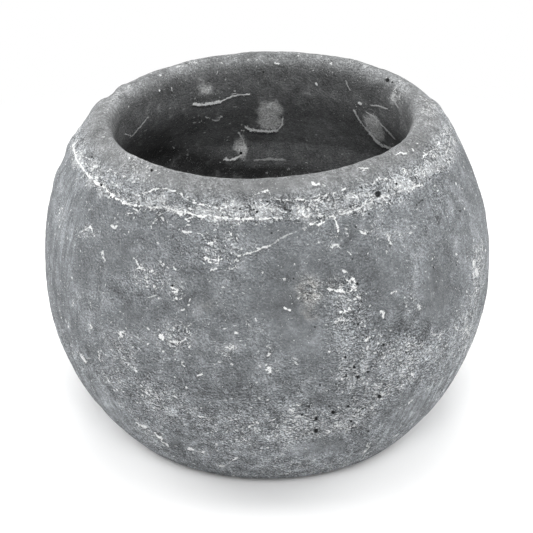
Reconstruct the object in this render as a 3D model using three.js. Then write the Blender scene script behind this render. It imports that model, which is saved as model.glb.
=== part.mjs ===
// Ball-shaped concrete bowl planter: one thick casting with a hand-formed rim, a rubber drain plug that lifts
// out through the mouth, and four rubber pads under the foot.
// Millimetres, +Z up. The origin is the centre of the footprint, on the floor; the front faces -Y.
import * as THREE from "three";

// ---- The casting's outside, measured from its own underside ----
const BELLY_RADIUS = 150; // widest radius
const BELLY_HEIGHT = 114; // where the widest radius is
const BASE_INSET = 48; // belly radius less the radius where the lower arc meets the underside
const BASE_EDGE = 5; // how far the soft edge round the underside reaches in
const SHOULDER_RISE = 88; // belly up to the crease under the rim band
const SHOULDER_INSET = 24.5; // belly radius less the crease's radius
const RIM_RISE = 18; // crease up to the crest of the rim
const CREST_INSET = 19.5; // crease's radius less the crest's
const BAND_BULGE = 2.7; // how far the rim band stands out from the straight line between crease and crest

// ---- The mouth and the inside ----
const LIP_ROUND_WIDTH = 8.5; // crest's radius less the mouth's
const LIP_ROUND_DROP = 12; // crest down to the narrowest place of the mouth
const LIP_FACE = 18; // height of the lip's inner face
const LIP_FLARE = 2; // how much wider the inner face is at its lower end
const LIP_NOSE = 4; // rounding under the inner face
const LEDGE_DROP = 44; // height of the slope from the lip back to the wall
const WALL = 20; // thickness of the wall
const FLOOR = 22; // thickness of the floor
const FLOOR_FILLET = 14; // soft corner between floor and wall

// ---- The hand-formed rim: level at the belly, uneven at the top ----
const RIM_TILT_DEG = 1.8; // right side up
const RIM_SHIFT = -3.2; // the mouth lies this far off centre, along X

// ---- Drain hole and plug ----
const HOLE_RADIUS = 11; // at the underside
const HOLE_TAPER = 1.5; // how much wider the hole is at its top
const SEAT_RADIUS = 20; // recess in the floor for the plug's flange
const SEAT_DEPTH = 4;
const PLUG_CLEARANCE = 0.3; // between plug and hole, all round
const FLANGE_GAP = 1; // between flange and recess wall
const FLANGE_THICKNESS = 3;
const STEM_SHORT = 1; // the stem ends this far above the underside
const STEM_CHAMFER = 1;
const KNOB_RADIUS = 8; // finger grip on top
const KNOB_NECK_RADIUS = 5;
const KNOB_NECK_HEIGHT = 4;
const KNOB_HEIGHT = 6;

// ---- Floor pads ----
const PAD_COUNT = 4;
const PAD_RADIUS = 12;
const PAD_THICKNESS = 3;
const PAD_CHAMFER = 0.6;
const PAD_EDGE_GAP = 10; // from the flat underside's edge to the pad

const ROUND_STEPS = 64; // facets round the casting
const SMALL_STEPS = 36; // facets round the plug and the pads

// ---- Heights and radii that follow from the sizes above ----
const baseRadius = BELLY_RADIUS - BASE_INSET;
const shoulderRadius = BELLY_RADIUS - SHOULDER_INSET;
const crestRadius = shoulderRadius - CREST_INSET;
const mouthRadius = crestRadius - LIP_ROUND_WIDTH;
const shoulderHeight = BELLY_HEIGHT + SHOULDER_RISE;
const crestHeight = shoulderHeight + RIM_RISE;
const mouthHeight = crestHeight - LIP_ROUND_DROP;
const seatHeight = FLOOR - SEAT_DEPTH;
const holeTopRadius = HOLE_RADIUS + HOLE_TAPER;

// Vertical half axis of an ellipse of half width `width`, centred at the belly, that is `inset` narrower at `rise`.
function halfAxis(width, inset, rise) {
  return rise / Math.sqrt(1 - ((width - inset) / width) ** 2);
}
const lowerAxis = halfAxis(BELLY_RADIUS, BASE_INSET, BELLY_HEIGHT);
const upperAxis = halfAxis(BELLY_RADIUS, SHOULDER_INSET, SHOULDER_RISE);

// Points on an ellipse about the belly's centre, between two heights; x is the radius and y the height.
function bellyArc(width, axis, fromHeight, toHeight, steps) {
  const angle = (height) => Math.asin((height - BELLY_HEIGHT) / axis);
  const from = angle(fromHeight);
  const to = angle(toHeight);
  return new THREE.EllipseCurve(0, BELLY_HEIGHT, width, axis, from, to, from > to).getPoints(steps);
}

function bend(start, control, end, steps) {
  return new THREE.QuadraticBezierCurve(start, control, end).getPoints(steps);
}

const at = (radius, height) => new THREE.Vector2(radius, height);

// ---- Outside: underside, soft edge, belly, rim band, crest ----
function outsideProfile() {
  const lower = bellyArc(BELLY_RADIUS, lowerAxis, BASE_EDGE / 2, BELLY_HEIGHT, 10);
  const edge = bend(at(baseRadius - BASE_EDGE, 0), at(baseRadius, 0), lower[0], 3);
  const upper = bellyArc(BELLY_RADIUS, upperAxis, BELLY_HEIGHT, shoulderHeight, 8);
  const crease = at(shoulderRadius, shoulderHeight);
  const crest = at(crestRadius, crestHeight);
  const outward = crease.clone().sub(crest).normalize().rotateAround(at(0, 0), Math.PI / 2);
  const bandMiddle = crease.clone().add(crest).divideScalar(2).addScaledVector(outward, 2 * BAND_BULGE);
  const band = bend(crease, bandMiddle, crest, 4);
  const lip = new THREE.EllipseCurve(crestRadius, mouthHeight, LIP_ROUND_WIDTH, LIP_ROUND_DROP, Math.PI / 2, Math.PI)
    .getPoints(6);
  return [...edge, ...lower.slice(1), ...upper.slice(1), ...band.slice(1), ...lip.slice(1)];
}

// ---- Inside: lip face, ledge, wall, floor ----
function insideProfile() {
  const innerRadius = BELLY_RADIUS - WALL;
  const faceEnd = at(mouthRadius + LIP_FLARE, mouthHeight - LIP_FACE);
  const noseCorner = at(faceEnd.x, faceEnd.y - LIP_NOSE);
  const ledgeHeight = noseCorner.y - LEDGE_DROP;
  const upper = bellyArc(innerRadius, upperAxis - WALL, ledgeHeight, BELLY_HEIGHT, 5);
  const noseEnd = noseCorner.clone().lerp(upper[0], LIP_NOSE / noseCorner.distanceTo(upper[0]));
  const nose = bend(faceEnd, noseCorner, noseEnd, 3);
  const lower = bellyArc(innerRadius, lowerAxis - WALL, BELLY_HEIGHT, FLOOR + FLOOR_FILLET / 2, 8);
  const wallFoot = lower.at(-1);
  const corner = bend(wallFoot, at(wallFoot.x - FLOOR_FILLET / 2, FLOOR), at(wallFoot.x - FLOOR_FILLET, FLOOR), 3);
  return [...nose, ...upper, ...lower.slice(1), ...corner.slice(1)];
}

// ---- Drain hole: recess for the flange, then the tapered hole ----
function drainProfile() {
  return [
    at(SEAT_RADIUS, FLOOR),
    at(SEAT_RADIUS, seatHeight),
    at(holeTopRadius, seatHeight),
    at(HOLE_RADIUS, 0),
  ];
}

// Spins a profile about +Z. A closed profile ends where it starts.
function turned(profile, steps) {
  return new THREE.LatheGeometry(profile, steps).rotateX(Math.PI / 2);
}

// Tilts and shifts what lies above the belly, more towards the rim, and leaves what is below it true.
function formRimByHand(geometry) {
  const slope = Math.tan(THREE.MathUtils.degToRad(RIM_TILT_DEG));
  const position = geometry.getAttribute("position");
  for (let i = 0; i < position.count; i++) {
    const x = position.getX(i);
    const z = position.getZ(i);
    const share = THREE.MathUtils.smoothstep(z, BELLY_HEIGHT, crestHeight);
    position.setX(i, x + share * RIM_SHIFT);
    position.setZ(i, z + share * slope * x);
  }
  geometry.computeVertexNormals();
  return geometry;
}

const concrete = new THREE.MeshStandardMaterial({ color: 0x85898b, roughness: 0.9, metalness: 0 });
const plugRubber = new THREE.MeshStandardMaterial({ color: 0x2b2b2c, roughness: 0.7, metalness: 0 });
const padRubber = new THREE.MeshStandardMaterial({ color: 0x3a3a3b, roughness: 0.8, metalness: 0 });

function named(name, geometry, material) {
  const mesh = new THREE.Mesh(geometry, material);
  mesh.name = name;
  return mesh;
}

function makeBowl() {
  const profile = [...outsideProfile(), ...insideProfile(), ...drainProfile()];
  profile.push(profile[0].clone());
  return named("bowl", formRimByHand(turned(profile, ROUND_STEPS)), concrete);
}

// A tapered stopper with a flange in the recess and a mushroom knob to pull it by.
function makeDrainPlug() {
  const stemBottom = STEM_SHORT;
  const radiusAt = (height) => HOLE_RADIUS + (HOLE_TAPER * height) / seatHeight - PLUG_CLEARANCE;
  const flangeRadius = SEAT_RADIUS - FLANGE_GAP;
  const flangeTop = seatHeight + FLANGE_THICKNESS;
  const knobBottom = flangeTop + KNOB_NECK_HEIGHT;
  const knob = new THREE.EllipseCurve(0, knobBottom, KNOB_RADIUS, KNOB_HEIGHT, 0, Math.PI / 2).getPoints(6);
  const profile = [
    at(0, stemBottom),
    at(radiusAt(stemBottom) - STEM_CHAMFER, stemBottom),
    at(radiusAt(stemBottom + STEM_CHAMFER), stemBottom + STEM_CHAMFER),
    at(radiusAt(seatHeight), seatHeight),
    at(flangeRadius, seatHeight),
    at(flangeRadius, flangeTop),
    at(KNOB_NECK_RADIUS, flangeTop),
    at(KNOB_NECK_RADIUS, knobBottom),
    ...knob.slice(0, -1),
    at(0, knobBottom + KNOB_HEIGHT),
  ];
  return named("drain_plug", turned(profile, SMALL_STEPS), plugRubber);
}

// A stuck-on disc with a small chamfer, its top face against the underside of the casting.
function makeFloorPad(index) {
  const circleRadius = baseRadius - BASE_EDGE - PAD_EDGE_GAP - PAD_RADIUS;
  const angle = (2 * Math.PI * (index + 0.5)) / PAD_COUNT;
  const profile = [
    at(0, -PAD_THICKNESS),
    at(PAD_RADIUS - PAD_CHAMFER, -PAD_THICKNESS),
    at(PAD_RADIUS, PAD_CHAMFER - PAD_THICKNESS),
    at(PAD_RADIUS, 0),
    at(0, 0),
  ];
  const pad = named(`floor_pad_${index + 1}`, turned(profile, SMALL_STEPS), padRubber);
  pad.position.set(circleRadius * Math.cos(angle), circleRadius * Math.sin(angle), 0);
  return pad;
}

const planter = new THREE.Group();
planter.position.z = PAD_THICKNESS;
planter.add(makeBowl(), makeDrainPlug());
for (let i = 0; i < PAD_COUNT; i++) planter.add(makeFloorPad(i));

export default planter;
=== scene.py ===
"""Looks of a ball-shaped concrete bowl planter: hand-packed casting with a chalky crust, plug and pads."""
import math

import bmesh
import bpy
import numpy as np
from mathutils import Matrix, Vector, noise


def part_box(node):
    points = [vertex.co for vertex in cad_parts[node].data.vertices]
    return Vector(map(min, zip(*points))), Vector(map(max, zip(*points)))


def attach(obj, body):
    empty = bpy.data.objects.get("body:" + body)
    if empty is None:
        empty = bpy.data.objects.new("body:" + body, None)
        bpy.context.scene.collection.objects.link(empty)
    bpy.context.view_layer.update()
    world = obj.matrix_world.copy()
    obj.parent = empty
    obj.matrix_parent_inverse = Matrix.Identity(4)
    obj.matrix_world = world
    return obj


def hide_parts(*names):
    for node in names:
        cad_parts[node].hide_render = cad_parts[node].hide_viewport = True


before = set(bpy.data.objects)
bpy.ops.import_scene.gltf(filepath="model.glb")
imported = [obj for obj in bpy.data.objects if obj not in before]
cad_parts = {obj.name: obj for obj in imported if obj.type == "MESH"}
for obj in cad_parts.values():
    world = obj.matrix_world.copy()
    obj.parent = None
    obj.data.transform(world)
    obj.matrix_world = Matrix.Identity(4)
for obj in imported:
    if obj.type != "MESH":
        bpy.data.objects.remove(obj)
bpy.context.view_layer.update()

# Sizes are in millimetres unless a comment says otherwise. MM turns them into Blender's metres.
MM = 0.001
PIXEL = 0.68  # millimetres that a pixel of the photograph spans at the bowl

# ---- The photograph's view ----
PHOTO_SIDE = 533  # pixels
CAMERA_ELEVATION = 27.28  # degrees
CAMERA_DISTANCE = 1500.0
CAMERA_TARGET = (0.0, 0.0, 100.5)
CAMERA_AIM = (-0.4, 0.0, 109.0)
CAMERA_LENS = 148.6
SENSOR = 36.0

# ---- Light, in metres and watts: each lamp's place, aim, side and power ----
LAMPS = {
    "front": ((0.0, -1.4, 1.15), (0.0, 0.0, 0.12), 0.8, 20.0),
    "top": ((0.0, 0.1, 1.5), (0.0, 0.0, 0.1), 1.2, 14.0),
    "left": ((-1.2, 0.5, 0.45), (0.0, 0.0, 0.12), 0.9, 16.0),
    "right": ((1.2, 0.5, 0.45), (0.0, 0.0, 0.12), 0.9, 14.0),
}
WORLD_LIGHT = 0.27
FLOOR_HALF_SIDE = 6.0
FLOOR_FADE = (300.0, 600.0)  # millimetres from the middle: from a floor with a shadow to plain white

# ---- The casting's section, as in the solids ----
bowl_low, bowl_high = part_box("bowl")
UNDERSIDE = bowl_low.z / MM
BELLY_RADIUS = bowl_high.x / MM
BELLY_HEIGHT = 114.0
BASE_INSET = 48.0
BASE_EDGE = 5.0
SHOULDER_RISE = 88.0
SHOULDER_INSET = 24.5
RIM_RISE = 18.0
CREST_INSET = 19.5
BAND_BULGE = 2.7
LIP_ROUND_WIDTH = 8.5
LIP_ROUND_DROP = 12.0
LIP_FACE = 18.0
LIP_FLARE = 2.0
LIP_NOSE = 4.0
LIP_ROUNDING = 13.0  # soft bend between the lip's face and the slope under it
LIP_LEAN = 0.6  # how much less the face flares where that bend starts
LEDGE_DROP = 44.0
WALL = 20.0
FLOOR = 22.0
FLOOR_FILLET = 14.0
SEAT_RADIUS = 20.0
SEAT_DEPTH = 4.0
HOLE_RADIUS = 11.0
HOLE_TAPER = 1.5
RIM_TILT = 1.8  # degrees, right side up
RIM_SHIFT = -3.2

# ---- Spacing of the rings on the skin ----
ROUND_STEPS = 456
SKIN_STEP = 2.4  # outside
BAND_STEP = 1.7  # on the rim band and the lip
LEDGE_STEP = 2.5
FILLET_STEP = 3.0
INSIDE_STEP = 6.0
FLOOR_STEP = 12.0

# ---- Runs: how far a place is from the crease, along the section and upwards ----
CREST_RUN = 27.5
MOUTH_RUN = 43.0
INNER_RUN = 31.5  # from here on the skin counts as inside
RUN_LIMIT = 60.0

# ---- Relief of the hand-packed mortar. Noise is given by the size of its lumps, octaves and seed ----
LUMPS = (70.0, 2, 1)
DENTS = (17.0, 3, 2)
ROUGHNESS = (5.5, 2, 4)
CRUST_RIDGES = (7.0, 3, 6)
CHALK_CLOUDS = (46.0, 2, 3)
POLISH_CLOUDS = (38.0, 2, 8)
LUMP_HEIGHT = 1.1
DENT_HEIGHT = 0.42
ROUGH_HEIGHT = 0.22
CRUST_HEIGHT = 0.75
CREASE_DEPTH = 0.45
CREASE_WIDTH = 1.8
STROKE_HEIGHT = 0.35
PIT_DEPTH = 1.5  # times its radius
MODELLED_PIT = 0.75  # pits of this radius and more are modelled
PIT_REACH = 2.2  # pixels round a pit that get finer faces, and again for each millimetre of its radius
PIT_RUN = 40.0  # only pits that lie up to here get finer faces

# ---- Plug and pads, where the solids don't say ----
PLUG_CLEARANCE = 0.3
PLUG_STEPS = 72
PLUG_ROUNDING = 0.25
FLANGE_THICKNESS = 3.0
FLANGE_LIP = 3.0  # width of the raised edge round the flange
FLANGE_DISH = 0.6
STEM_WALL = 4.0
STEM_HOLLOW = 2.2
RIB_COUNT = 4
RIB_DEPTH = 0.5
NECK_RADIUS = 4.9
KNOB_RADIUS = 8.0
KNOB_DIMPLE = 0.6
PAD_COUNT = 4
PAD_STEPS = 64
PAD_ROUNDING = 0.12
PAD_CHAMFER = 0.6
PAD_TOP_EDGE = 0.2
GROOVE_RADII = (3.0, 5.6, 8.2)
GROOVE_SIDE = 0.4  # width of a groove's slope, and of its bottom
GROOVE_DEPTH = 0.5


# ======== Helpers ========

def smooth_step(low, high, value):
    share = np.clip((value - low) / (high - low), 0.0, 1.0)
    return share * share * (3.0 - 2.0 * share)


def fractal(points, size, octaves, seed):
    """Fractal noise of about -1 to 1 at each point, with lumps of about that size."""
    places = points / size + np.array((17.3, -9.1, 5.7)) * seed
    return np.array([noise.fractal(place, 1.0, 2.0, octaves) for place in places.tolist()])


def camera_eye():
    tilt = math.radians(CAMERA_ELEVATION)
    return np.array(CAMERA_TARGET) + CAMERA_DISTANCE * np.array((0.0, -math.cos(tilt), math.sin(tilt)))


def photo_position(points):
    """Where points, in millimetres, show in the photograph's pixels."""
    ahead = np.array(CAMERA_AIM) - camera_eye()
    ahead /= np.linalg.norm(ahead)
    right = np.cross(ahead, (0.0, 0.0, 1.0))
    right /= np.linalg.norm(right)
    up = np.cross(right, ahead)
    seen = points - camera_eye()
    scale = CAMERA_LENS / SENSOR * PHOTO_SIDE / (seen @ ahead)
    middle = PHOTO_SIDE / 2
    return np.stack((middle + scale * (seen @ right), middle - scale * (seen @ up)), axis=1)


# ======== Marks on the concrete, placed by the photograph's pixels ========

# Strokes, flecks and crust: half width, strength, points along the mark.
CREASE_CRUST = [
    (1.3, 1.0, [(75, 146), (77, 160), (87, 174), (97, 183), (105, 188), (112, 196), (125, 203)]),
    (1.0, 0.8, [(125, 203), (134, 205), (143, 206), (152, 208), (164, 207), (173, 210), (183, 213)]),
    (1.2, 1.0, [(183, 213), (190, 213), (198, 216), (213, 216), (225, 218), (241, 219), (259, 219),
                (279, 218)]),
    (0.9, 0.7, [(279, 218), (300, 218), (322, 216), (332, 216), (346, 213), (357, 209)]),
    (0.9, 0.7, [(360, 208), (375, 200), (391, 195), (398, 192), (407, 189), (422, 185)]),
    (0.8, 0.7, [(137, 196), (146, 193), (155, 189), (164, 188), (170, 190), (181, 194), (187, 200),
                (195, 203)]),
    (0.8, 0.8, [(195, 203), (204, 205), (213, 207), (221, 209), (228, 206), (233, 203)]),
    (0.8, 0.8, [(254, 196), (260, 193), (267, 191), (271, 195), (275, 199), (280, 200), (290, 200),
                (300, 200)]),
    (0.8, 0.8, [(300, 199), (307, 201), (315, 200), (323, 196), (330, 193), (338, 191), (346, 188)]),
    (0.7, 0.6, [(164, 196), (165, 201), (166, 207)]),
    (0.8, 0.6, [(83, 156), (89, 159), (96, 167)]),
    (0.7, 0.7, [(106, 174), (110, 169), (114, 171), (116, 177)]),
    (0.8, 0.8, [(330, 196), (338, 192), (345, 188)]),
    (0.8, 0.6, [(372, 186), (378, 178), (383, 181)]),
    (0.7, 0.6, [(403, 169), (409, 171), (416, 169)]),
    (0.8, 0.6, [(444, 158), (448, 148), (450, 138)]),
]
SHOULDER_STROKES = [
    (1.1, 0.65, [(236, 257), (245, 254), (254, 251), (262, 248), (270, 246)]),
    (1.0, 0.35, [(270, 246), (276, 242), (281, 238), (290, 234), (300, 230), (308, 226)]),
    (1.3, 1.0, [(308, 226), (313, 224), (319, 225), (325, 221)]),
    (1.3, 1.0, [(204, 257), (210, 259), (217, 260), (222, 259)]),
    (1.4, 0.9, [(205, 242), (209, 244), (213, 243)]), (1.0, 0.8, [(183, 231), (186, 233), (190, 232)]),
    (1.0, 0.7, [(158, 213), (161, 216), (163, 220)]), (1.1, 0.8, [(112, 226), (115, 228), (118, 226)]),
    (1.2, 0.8, [(90, 226), (92, 231), (95, 234)]), (0.9, 0.6, [(102, 252), (104, 257), (105, 261)]),
    (1.1, 0.8, [(138, 268), (142, 269), (146, 271)]), (1.2, 0.9, [(228, 232), (232, 236), (236, 238)]),
    (0.7, 0.7, [(128, 213), (135, 213), (142, 212)]), (0.9, 0.8, [(151, 226), (152, 228), (153, 230)]),
    (0.8, 0.7, [(152, 233), (157, 231)]), (0.8, 0.6, [(156, 212), (157, 216)]),
    (0.9, 0.7, [(170, 224), (173, 227)]), (0.8, 0.9, [(177, 212), (183, 216), (189, 221)]),
    (0.9, 0.7, [(200, 234), (204, 236)]), (0.8, 0.8, [(211, 270), (217, 268)]),
    (0.8, 0.8, [(229, 270), (233, 268), (237, 266)]), (0.8, 0.7, [(134, 258), (137, 262)]),
    (0.7, 0.6, [(159, 261), (162, 266)]), (0.9, 0.7, [(173, 266), (175, 270)]),
    (0.7, 0.7, [(79, 234), (83, 231), (86, 229)]), (0.8, 0.6, [(79, 248), (81, 251)]),
    (0.8, 0.6, [(125, 234), (127, 235)]), (1.0, 0.9, [(312, 182), (315, 185), (319, 184)]),
    (0.8, 0.8, [(360, 168), (367, 168)]), (0.8, 0.8, [(394, 156), (400, 153), (407, 154)]),
    (1.0, 0.8, [(412, 148), (413, 150)]), (0.9, 0.8, [(422, 158), (428, 152), (436, 149)]),
    (0.8, 0.8, [(359, 231), (366, 234)]), (1.4, 0.9, [(335, 221), (337, 225), (338, 230)]),
    (1.2, 0.7, [(331, 247), (336, 244), (340, 248)]), (1.2, 0.8, [(347, 251), (350, 254)]),
    (1.3, 0.7, [(387, 233), (389, 239), (390, 244)]), (1.5, 0.7, [(473, 262), (476, 268), (476, 276)]),
]
BELLY_FLECKS = [
    (1.4, 0.9, [(171, 287), (174, 289), (177, 290)]), (1.1, 0.9, [(174, 299), (178, 299)]),
    (0.7, 0.5, [(138, 299), (146, 298), (157, 295)]), (2.0, 1.0, [(161, 336), (163, 338)]),
    (1.2, 0.8, [(170, 341), (176, 342), (182, 341), (186, 339)]), (1.8, 0.8, [(120, 333), (122, 336)]),
    (1.3, 0.8, [(91, 325), (92, 328)]), (1.1, 0.8, [(81, 353), (83, 357), (86, 362)]),
    (0.7, 0.7, [(98, 350), (99, 356), (101, 362)]), (0.8, 0.8, [(128, 365), (133, 367), (137, 371)]),
    (0.9, 0.9, [(181, 362), (184, 366)]), (1.2, 0.8, [(226, 347), (230, 349), (233, 346)]),
    (1.1, 0.8, [(197, 376), (201, 374)]),
    (1.0, 0.9, [(266, 369), (269, 367), (271, 370), (270, 373), (267, 373)]),
    (1.6, 1.0, [(154, 433), (158, 436), (161, 438)]), (1.4, 0.8, [(137, 423), (142, 425), (146, 427)]),
    (1.0, 0.8, [(188, 449), (196, 451), (203, 452)]), (1.0, 0.7, [(164, 443), (168, 446)]),
    (1.2, 0.9, [(350, 281), (353, 278), (355, 281)]),
    (1.3, 1.0, [(330, 290), (336, 291), (343, 291), (349, 293)]), (1.1, 0.9, [(353, 287), (357, 289)]),
    (1.3, 0.9, [(340, 311), (345, 312), (349, 309)]), (1.2, 0.9, [(334, 322), (338, 321), (341, 319)]),
    (1.3, 0.9, [(381, 311), (384, 314), (384, 318)]), (0.9, 0.8, [(391, 293), (396, 291)]),
    (1.7, 1.0, [(366, 352), (367, 353)]), (1.0, 0.8, [(366, 347), (368, 348)]),
    (1.0, 0.9, [(284, 308), (290, 310)]), (1.5, 0.8, [(412, 374), (414, 377)]),
    (0.9, 0.8, [(281, 455), (285, 451)]), (0.9, 0.7, [(367, 444), (371, 441)]),
    (1.4, 0.7, [(325, 428), (329, 431)]), (1.2, 0.6, [(455, 326), (457, 332)]),
    (1.4, 0.6, [(466, 328), (467, 334)]), (1.1, 0.7, [(369, 404), (372, 408), (374, 412)]),
    (1.1, 0.7, [(404, 405), (408, 403), (412, 400)]), (0.9, 0.8, [(364, 452), (367, 448), (370, 446)]),
    (0.9, 0.7, [(399, 428), (401, 426)]), (0.9, 0.6, [(437, 337), (441, 333)]),
    (0.8, 0.6, [(431, 331), (433, 335)]), (1.0, 0.6, [(417, 304), (420, 306), (420, 309)]),
    (0.9, 0.8, [(357, 296), (360, 298)]), (0.9, 0.8, [(346, 325), (348, 324)]),
    (0.9, 0.8, [(365, 341), (367, 339), (370, 337)]), (0.8, 0.6, [(379, 334), (381, 337)]),
    (1.0, 0.7, [(291, 361), (295, 363), (298, 364)]), (1.1, 0.7, [(290, 409), (293, 411)]),
    (1.0, 0.6, [(340, 385), (344, 384)]), (1.1, 0.6, [(338, 426), (343, 424), (348, 422)]),
    (0.8, 0.8, [(267, 356), (269, 355)]), (0.8, 0.6, [(269, 346), (271, 349)]),
    (0.8, 0.5, [(249, 324), (251, 328)]), (0.9, 0.5, [(213, 363), (216, 366)]),
    (1.0, 0.7, [(246, 428), (250, 427)]), (0.8, 0.7, [(199, 416), (204, 417), (208, 418)]),
    (0.9, 0.6, [(146, 392), (150, 395)]), (1.0, 0.7, [(233, 460), (237, 458)]),
    (1.0, 0.6, [(219, 466), (226, 465)]), (0.8, 0.6, [(108, 380), (111, 383)]),
    (1.0, 0.5, [(257, 399), (261, 398)]),
]
INNER_STROKES = [
    # The first three lines run along the lower edges of the lip and of a shallow hollow in the back wall:
    # partly white slurry, partly painted highlight on these edges.
    (1.5, 1.0, [(194, 104), (203, 105), (214, 103), (221, 101)]),
    (0.7, 0.8, [(221, 101), (230, 97), (238, 95), (249, 94)]),
    (1.7, 1.0, [(247, 128), (252, 130), (262, 131), (270, 131), (277, 130)]),
    (0.9, 0.8, [(277, 130), (282, 125), (283, 117)]), (0.9, 0.6, [(239, 133), (244, 142), (244, 152)]),
    (1.4, 0.8, [(244, 152), (237, 158), (229, 160), (225, 159)]),
    (0.7, 0.7, [(354, 110), (360, 121), (369, 132)]),
    (1.4, 1.0, [(369, 132), (377, 142), (383, 146), (391, 148)]),
    (0.7, 0.6, [(366, 112), (375, 117), (384, 127), (395, 139)]),
    (1.0, 0.3, [(255, 160), (270, 159), (286, 160)]),
    (0.6, 0.5, [(125, 134), (132, 136), (140, 127), (148, 117)]),
    (0.6, 0.4, [(346, 81), (348, 86), (350, 90)]), (0.7, 0.4, [(371, 105), (379, 106), (387, 109)]),
    (0.9, 0.4, [(393, 100), (396, 104), (398, 108)]), (0.9, 0.9, [(159, 90), (160, 91)]),
    (0.8, 0.7, [(171, 87), (172, 91)]), (1.0, 0.9, [(359, 103), (361, 104)]),
    (0.8, 0.9, [(316, 83), (317, 85)]), (0.9, 0.8, [(275, 63), (279, 64)]),
    (0.8, 0.6, [(213, 120), (218, 121)]), (0.6, 0.6, [(173, 147), (174, 148)]),
    (0.7, 0.8, [(206, 117), (208, 118)]), (0.7, 0.8, [(214, 120), (215, 121)]),
    (0.6, 0.8, [(199, 122), (200, 122)]), (0.6, 0.8, [(221, 116), (222, 117)]),
    (0.6, 0.8, [(234, 91), (236, 91)]),
]
# Pinholes and air pits: (x, y) in pixels, and radius in millimetres.
PITS = [
    (378, 194, 1.9), (387, 80, 1.2), (392, 82, 0.7), (379, 396, 1.3), (333, 412, 1.2), (316, 430, 1.2),
    (358, 377, 1.1), (354, 367, 0.9), (368, 372, 0.8), (345, 357, 0.8), (384, 345, 0.8), (406, 352, 0.6),
    (348, 406, 0.9), (329, 406, 0.6), (309, 406, 0.8), (302, 414, 0.8), (316, 418, 1.0), (351, 421, 0.8),
    (368, 431, 0.7), (320, 385, 0.6), (336, 384, 0.6), (315, 327, 0.5), (358, 324, 0.7), (358, 284, 0.8),
    (346, 370, 0.6), (346, 376, 0.6), (152, 171, 0.8), (92, 157, 0.7), (101, 185, 0.8), (240, 209, 0.7),
    (257, 212, 0.8), (241, 218, 0.6), (254, 203, 0.7), (172, 286, 0.8), (417, 205, 0.6), (369, 214, 0.6),
    (356, 227, 0.6), (423, 200, 0.5), (460, 211, 0.6), (241, 153, 0.8), (176, 417, 0.5), (396, 184, 0.7),
]
# Soft patches: (x, y) of the middle, half width and half height in pixels, turn in degrees, strength.
CHALKY_PATCHES = [
    (240, 212, 60, 9, 2, 1.0), (150, 201, 42, 7, 18, 0.4), (95, 172, 14, 12, 40, 0.6),
    (80, 148, 8, 20, 10, 0.6), (345, 205, 45, 8, -14, 0.9), (400, 185, 40, 10, -30, 0.9),
    (445, 150, 16, 22, 40, 0.8), (428, 108, 14, 20, 35, 0.6), (130, 160, 30, 12, 30, 0.5),
    (125, 95, 20, 6, -25, 0.8), (190, 65, 14, 5, -10, 0.9), (360, 68, 24, 6, 18, 0.9),
    (398, 88, 14, 6, 35, 0.8), (90, 232, 14, 12, 0, 0.6), (215, 250, 34, 14, -15, 0.4),
    (150, 275, 30, 12, 10, 0.5), (178, 290, 16, 8, 0, 0.7), (175, 335, 18, 14, 0, 0.7),
    (125, 350, 14, 22, 15, 0.7), (110, 380, 18, 8, 25, 0.5), (160, 400, 30, 20, 30, 0.5),
    (150, 435, 22, 8, 30, 0.6), (230, 430, 40, 20, 0, 0.35), (345, 290, 20, 16, -10, 0.9),
    (350, 315, 22, 16, 0, 0.6), (300, 425, 30, 18, -20, 0.8), (345, 420, 30, 14, -20, 0.8),
    (355, 375, 22, 20, 0, 0.7), (390, 385, 30, 12, -35, 0.7), (400, 350, 36, 16, -10, 0.5),
    (330, 240, 16, 18, 0, 0.6), (228, 350, 12, 10, 0, 0.7), (467, 320, 9, 40, 6, 0.6),
    (478, 270, 6, 30, 3, 0.8), (385, 240, 24, 24, 0, 0.35), (412, 300, 10, 20, 0, 0.4),
    (60, 205, 9, 60, 4, 0.3),
]
TROWELLED_PATCHES = [
    (262, 187, 32, 7, 0, 1.0), (302, 182, 40, 6, -10, 0.7), (300, 260, 30, 14, -10, 0.6),
    (285, 310, 22, 34, 0, 0.8), (305, 340, 26, 26, 10, 0.7), (436, 296, 16, 30, 5, 0.9),
    (385, 275, 20, 26, 10, 0.5), (400, 410, 26, 20, -30, 0.4), (320, 447, 34, 9, -8, 0.9),
    (255, 300, 18, 20, 0, 0.4), (130, 315, 16, 14, 0, 0.6), (205, 300, 16, 16, 0, 0.4),
    (185, 440, 30, 14, 10, 0.4), (120, 255, 20, 20, 0, 0.5), (270, 235, 30, 8, -10, 0.6),
    (425, 415, 20, 30, -35, 0.6), (165, 180, 32, 7, 20, 0.6), (118, 150, 12, 20, 30, 0.4),
    (408, 150, 12, 22, -30, 0.3), (106, 405, 11, 30, -42, 0.6), (126, 190, 26, 8, 25, 0.35),
]
BRUSHED_PATCHES = [
    (66, 220, 16, 90, 4, 1.0), (410, 250, 26, 60, -6, 0.5), (470, 250, 14, 60, 4, 0.7),
    (440, 210, 18, 30, -10, 0.6), (462, 345, 14, 46, 16, 1.0), (434, 395, 16, 40, 38, 1.0),
    (395, 430, 20, 34, 60, 0.9), (80, 340, 16, 50, -14, 0.6), (300, 455, 60, 10, 0, 0.6),
    (110, 405, 14, 34, -42, 0.8), (150, 440, 12, 26, -60, 0.6),
]
GRITTY_PATCHES = [
    (309, 291, 15, 17, -20, 0.8), (400, 360, 50, 40, -30, 1.0), (350, 320, 30, 40, 0, 0.7),
    (250, 212, 60, 12, 0, 0.8), (130, 198, 40, 10, 25, 0.5), (390, 190, 50, 14, -28, 1.0),
    (200, 250, 50, 24, 0, 0.5), (130, 290, 30, 24, 0, 0.5), (440, 200, 20, 40, 0, 0.6),
]
WARM_PATCHES = [
    (309, 291, 13, 15, -20, 1.0), (310, 314, 9, 6, 10, 0.8), (332, 283, 8, 6, 0, 0.5),
    (320, 78, 16, 5, 0, 0.4), (210, 305, 10, 6, 0, 0.3),
]
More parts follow.
